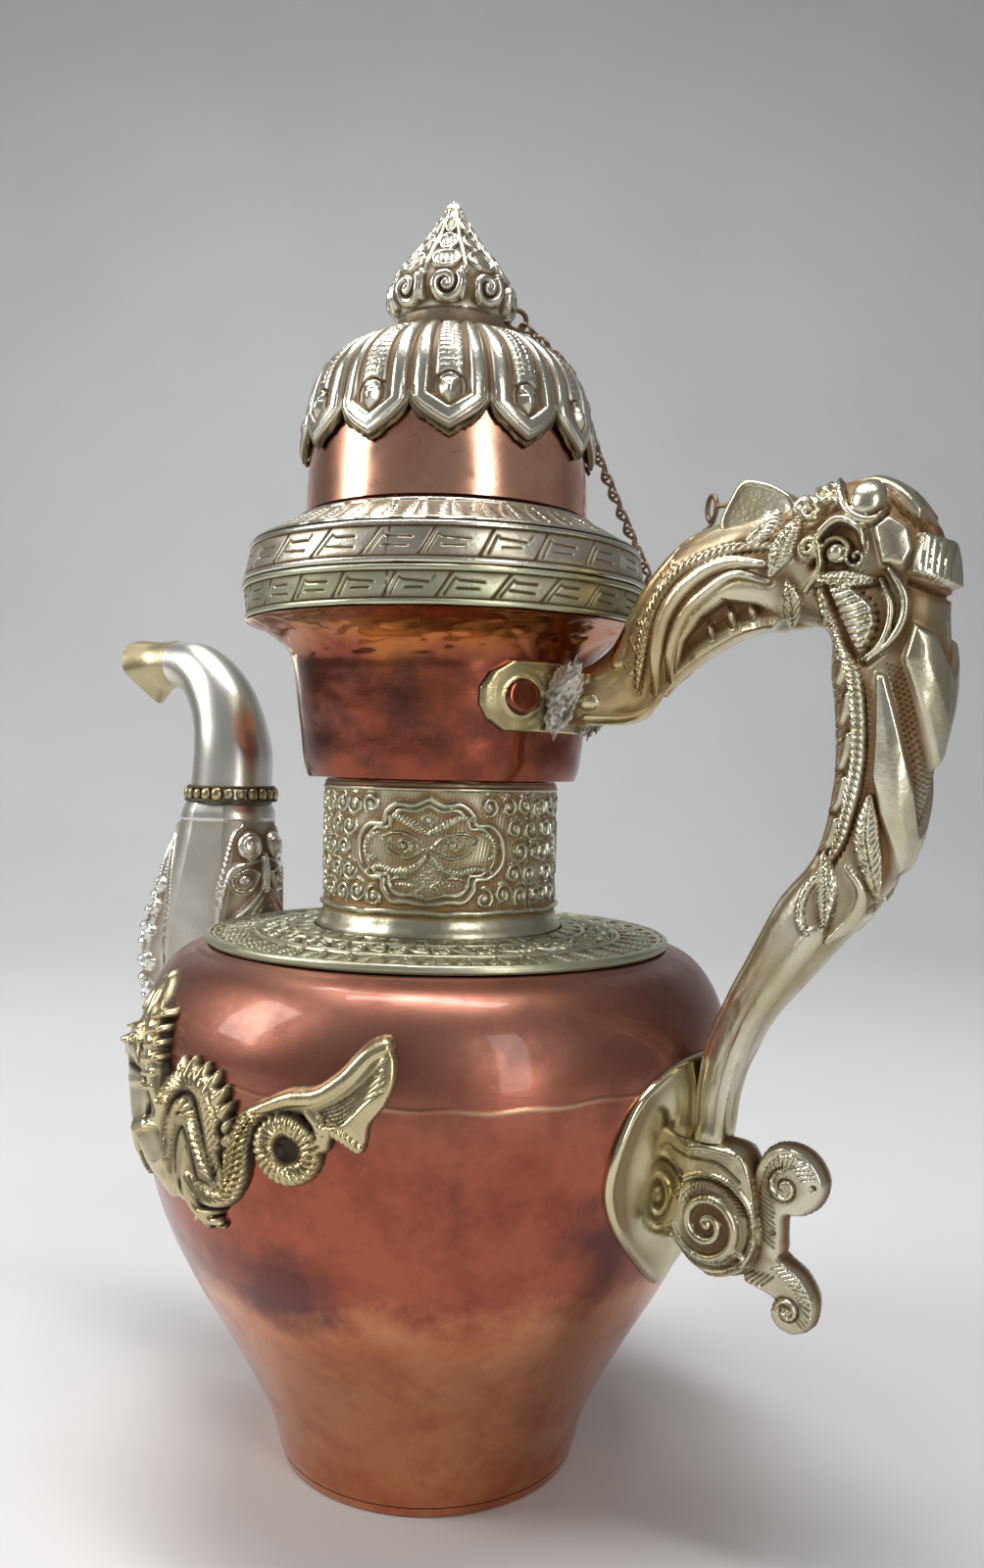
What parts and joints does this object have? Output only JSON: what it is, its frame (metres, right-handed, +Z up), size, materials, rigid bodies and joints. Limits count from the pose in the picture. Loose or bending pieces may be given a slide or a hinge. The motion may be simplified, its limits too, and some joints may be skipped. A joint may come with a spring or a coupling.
{
  "type": "lidded pouring ewer",
  "caption": "Lidded copper ewer with pale metal mounts, curved spout, cast handle and a keeper chain for the lid.",
  "frame": {"origin": "centre of the underside of the foot", "axes": "+Z up through the finial, +X towards the handle, -X towards the spout"},
  "size_m": [0.2615, 0.1682, 0.3409],
  "materials": {
    "copper": "beaten and polished copper with brown patina",
    "white_metal": "chased white metal, tarnished in the grooves",
    "brass": "worn cast brass",
    "pale_brass": "pale cast brass, dark in the grooves",
    "iron": "rusted iron wire"
  },
  "bodies": {
    "ewer": {"base_disc": "copper", "belly_lower": "copper", "belly_upper": "copper", "shoulder_plate": "white_metal", "neck_tube": "copper", "neck_sleeve": "white_metal", "collar_cup": "copper", "rim_band": "white_metal", "spout_root": "white_metal", "spout_bead_ring": "white_metal", "spout_tube": "white_metal", "handle_trunk": "brass", "handle_head": "pale_brass", "handle_arm": "pale_brass", "handle_socket": "pale_brass", "belly_leaf_plate": "brass", "handle_strap": "brass", "strap_rivet_near": "copper", "strap_rivet_far": "copper", "dragon_near": "brass", "dragon_far": "brass", "snout_ring": "iron"},
    "lid": {"lid_band": "white_metal", "lid_flange": "white_metal", "lid_plug": "copper", "lid_dome": "copper", "petal_cap": "white_metal", "finial": "white_metal", "finial_washer": "brass", "finial_loop": "iron", "chain_link_01": "iron", "chain_link_02": "iron", "chain_link_03": "iron", "chain_link_04": "iron", "chain_link_05": "iron", "chain_link_06": "iron", "chain_link_07": "iron", "chain_link_08": "iron", "chain_link_09": "iron", "chain_link_10": "iron", "chain_link_11": "iron", "chain_link_12": "iron", "chain_link_13": "iron", "chain_link_14": "iron"},
    "chain": {"chain_link_15": "iron", "chain_link_16": "iron", "chain_link_17": "iron", "chain_link_18": "iron", "chain_link_19": "iron", "chain_link_20": "iron", "chain_link_21": "iron", "chain_link_22": "iron", "chain_link_23": "iron", "chain_link_24": "iron", "chain_link_25": "iron", "chain_link_26": "iron", "chain_link_27": "iron", "chain_link_28": "iron"}
  },
  "joints": [
    {"name": "lid_lift", "type": "slide", "parent": "ewer", "child": "lid", "axis": [0, 0, 1], "range_m": [0, 0.024]},
    {"name": "chain_swing", "type": "hinge", "parent": "lid", "child": "chain", "pos_m": [0.04151, 0.04151, 0.2385], "axis": [0.6965, 0.7175, 0], "range_deg": [0, 28.8]}
  ],
  "couplings": [
    {"joint": "chain_swing", "follows": "lid_lift", "rad_per_m": 20.87}
  ]
}
